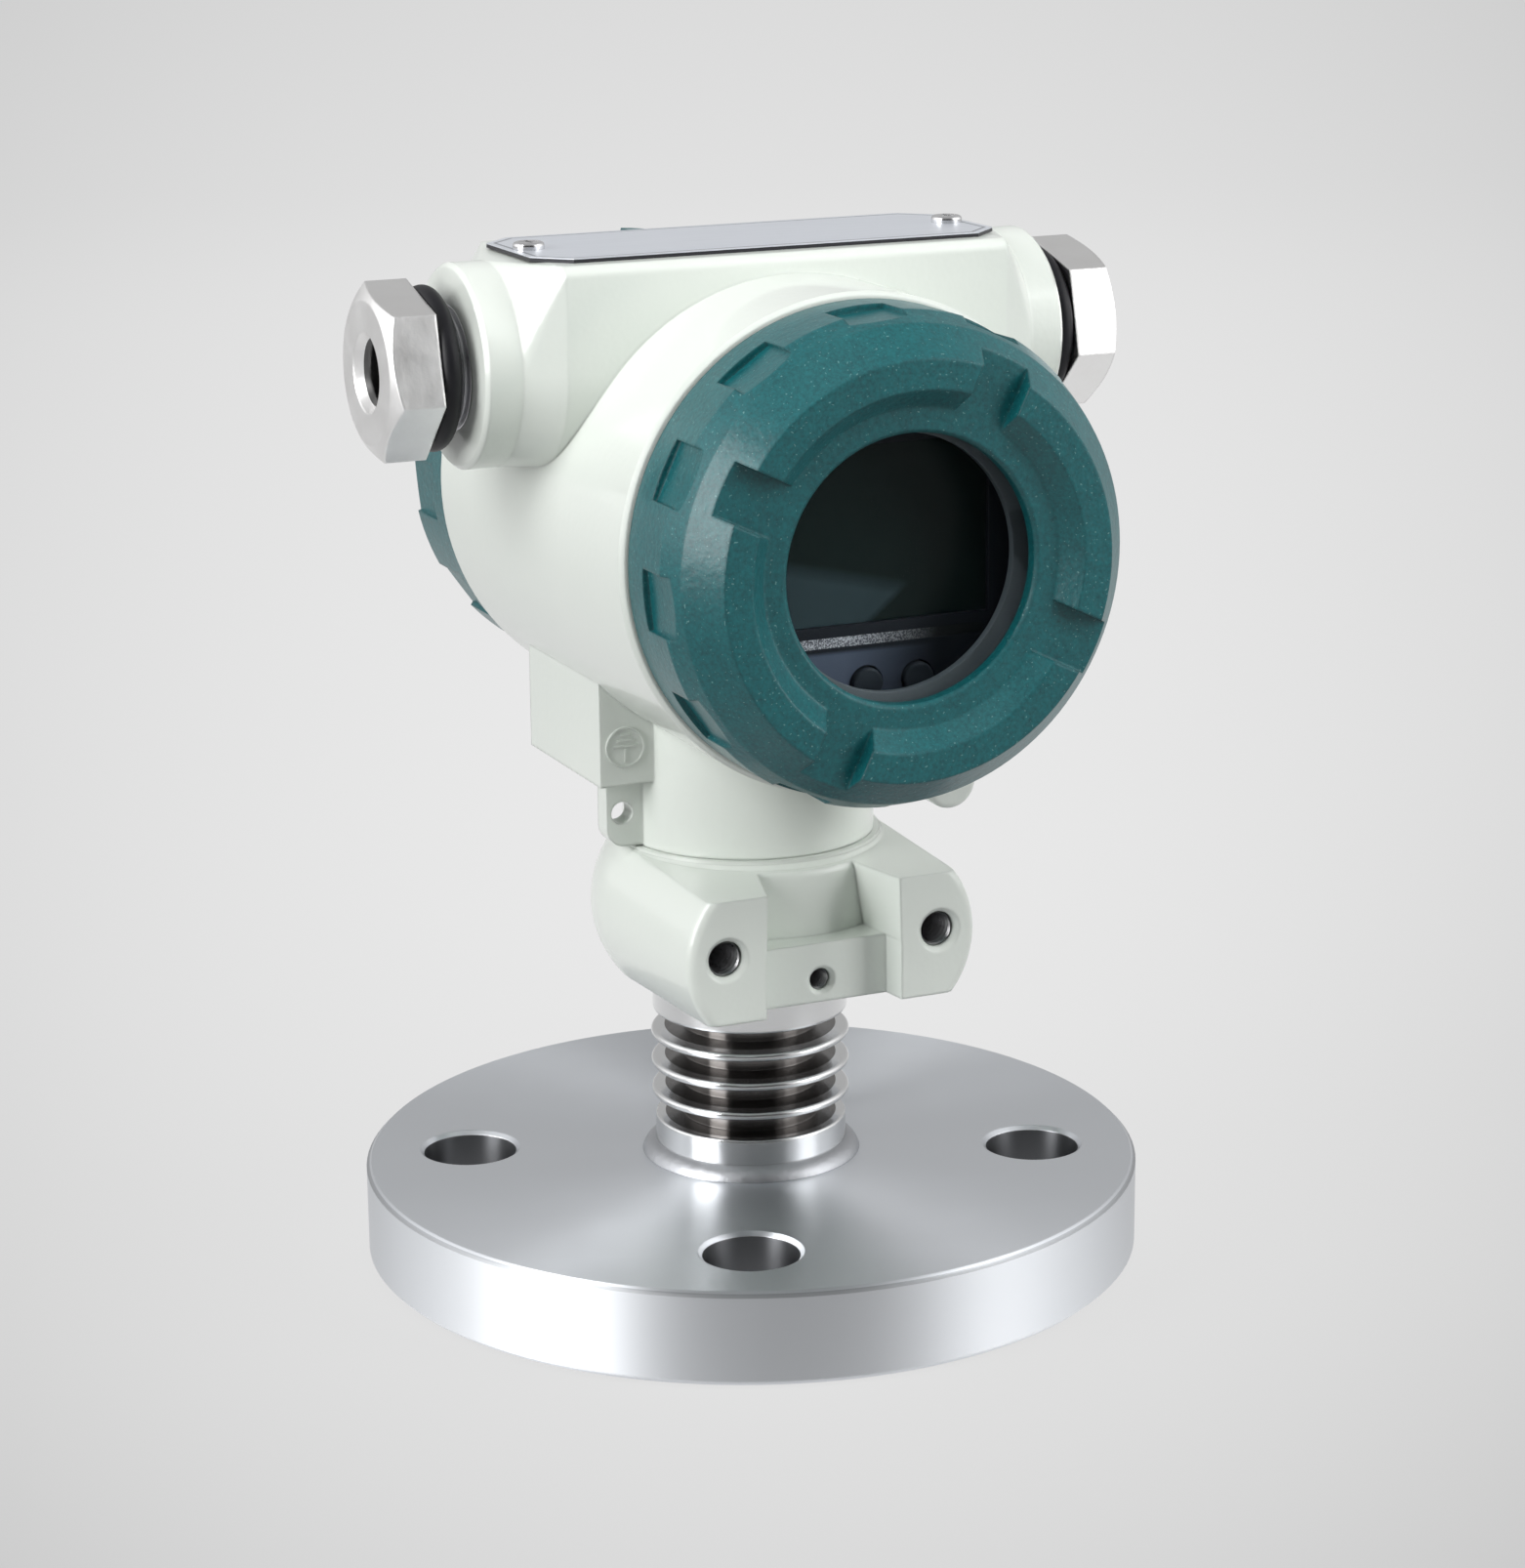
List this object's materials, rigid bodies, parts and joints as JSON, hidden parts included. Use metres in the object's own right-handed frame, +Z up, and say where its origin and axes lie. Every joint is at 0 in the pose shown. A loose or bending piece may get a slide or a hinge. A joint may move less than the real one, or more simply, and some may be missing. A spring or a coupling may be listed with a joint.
{
  "type": "flange pressure transmitter",
  "caption": "Flange pressure transmitter with a flush diaphragm, finned cooling neck, cast sensor body and a turnable housing with screwed covers, display window and conduit entries",
  "frame": {"origin": "Centre of the flange's flat sealing face, on the neck axis", "axes": "+Z up along the neck away from the process, -Y out of the display window, +X toward the blanking plug"},
  "size_m": [0.15, 0.15, 0.1971],
  "materials": {
    "flange": "fine machined stainless steel, dull sheen",
    "isolating_diaphragm": "thin rolled stainless steel foil",
    "cooling_neck": "turned stainless steel",
    "neck_weld": "ground weld bead",
    "sensor_body": "off-white powder coat on a casting",
    "sensor_connector": "black moulded plastic",
    "electronics_housing": "off-white powder coat on a casting",
    "neck_set_screw": "plain steel",
    "front_cover": "dark teal enamel with a fine sparkle",
    "window_gasket": "black rubber",
    "window_glass": "clear toughened glass",
    "glass_retaining_ring": "black anodised ring",
    "front_cover_o_ring": "black rubber",
    "rear_cover": "dark teal enamel with a fine sparkle",
    "rear_cover_o_ring": "black rubber",
    "nameplate": "satin aluminium sheet, blank",
    "nameplate_screws": "small pan heads with a cross recess",
    "cable_plug": "nickel-plated, satin",
    "cable_plug_o_ring": "black rubber",
    "blanking_plug": "nickel-plated, satin",
    "blanking_plug_o_ring": "black rubber",
    "display_bezel": "dark blue-grey moulded plastic",
    "lcd_panel": "dark display, switched off",
    "display_strip": "light grey strip",
    "display_board": "green circuit board",
    "left_button": "dark push button",
    "middle_button": "dark push button",
    "right_button": "dark push button",
    "power_board": "green circuit board",
    "main_board": "green circuit board",
    "board_spacers": "turned brass",
    "terminal_block": "black moulded plastic",
    "terminal_screws": "plated steel with a slot"
  },
  "bodies": {
    "process_base": {"flange": "flange", "isolating_diaphragm": "isolating_diaphragm", "cooling_neck": "cooling_neck", "neck_weld": "neck_weld", "sensor_body": "sensor_body", "sensor_connector": "sensor_connector"},
    "housing": {"electronics_housing": "electronics_housing", "neck_set_screw": "neck_set_screw", "nameplate": "nameplate", "nameplate_screws": "nameplate_screws", "cable_plug": "cable_plug", "cable_plug_o_ring": "cable_plug_o_ring", "blanking_plug": "blanking_plug", "blanking_plug_o_ring": "blanking_plug_o_ring", "display_bezel": "display_bezel", "lcd_panel": "lcd_panel", "display_strip": "display_strip", "display_board": "display_board", "power_board": "power_board", "main_board": "main_board", "board_spacers": "board_spacers", "terminal_block": "terminal_block", "terminal_screws": "terminal_screws"},
    "front_seal": {"front_cover_o_ring": "front_cover_o_ring"},
    "window_cover": {"front_cover": "front_cover", "window_gasket": "window_gasket", "window_glass": "window_glass", "glass_retaining_ring": "glass_retaining_ring"},
    "rear_seal": {"rear_cover_o_ring": "rear_cover_o_ring"},
    "terminal_cover": {"rear_cover": "rear_cover"},
    "left_key": {"left_button": "left_button"},
    "middle_key": {"middle_button": "middle_button"},
    "right_key": {"right_button": "right_button"}
  },
  "joints": [
    {"name": "housing_turn", "type": "hinge", "parent": "process_base", "child": "housing", "pos_m": [0, 0, 0.0833], "axis": [0, 0, 1], "range_deg": [-180, 180]},
    {"name": "front_cover_travel", "type": "slide", "parent": "housing", "child": "front_seal", "axis": [0, -1, 0], "range_m": [0, 0.01]},
    {"name": "front_cover_turn", "type": "hinge", "parent": "front_seal", "child": "window_cover", "pos_m": [0, -0.06, 0.1464], "axis": [0, -1, 0], "range_deg": [0, 1800]},
    {"name": "rear_cover_travel", "type": "slide", "parent": "housing", "child": "rear_seal", "axis": [0, 1, 0], "range_m": [0, 0.01]},
    {"name": "rear_cover_turn", "type": "hinge", "parent": "rear_seal", "child": "terminal_cover", "pos_m": [0, 0.055, 0.1464], "axis": [0, 1, 0], "range_deg": [0, 1800]},
    {"name": "left_press", "type": "slide", "parent": "housing", "child": "left_key", "axis": [0, 1, 0], "range_m": [0, 0.0006], "stiffness_N_per_m": 800},
    {"name": "middle_press", "type": "slide", "parent": "housing", "child": "middle_key", "axis": [0, 1, 0], "range_m": [0, 0.0006], "stiffness_N_per_m": 800},
    {"name": "right_press", "type": "slide", "parent": "housing", "child": "right_key", "axis": [0, 1, 0], "range_m": [0, 0.0006], "stiffness_N_per_m": 800}
  ],
  "couplings": [
    {"joint": "front_cover_travel", "follows": "front_cover_turn", "m_per_rad": 0.0003183},
    {"joint": "rear_cover_travel", "follows": "rear_cover_turn", "m_per_rad": 0.0003183}
  ]
}
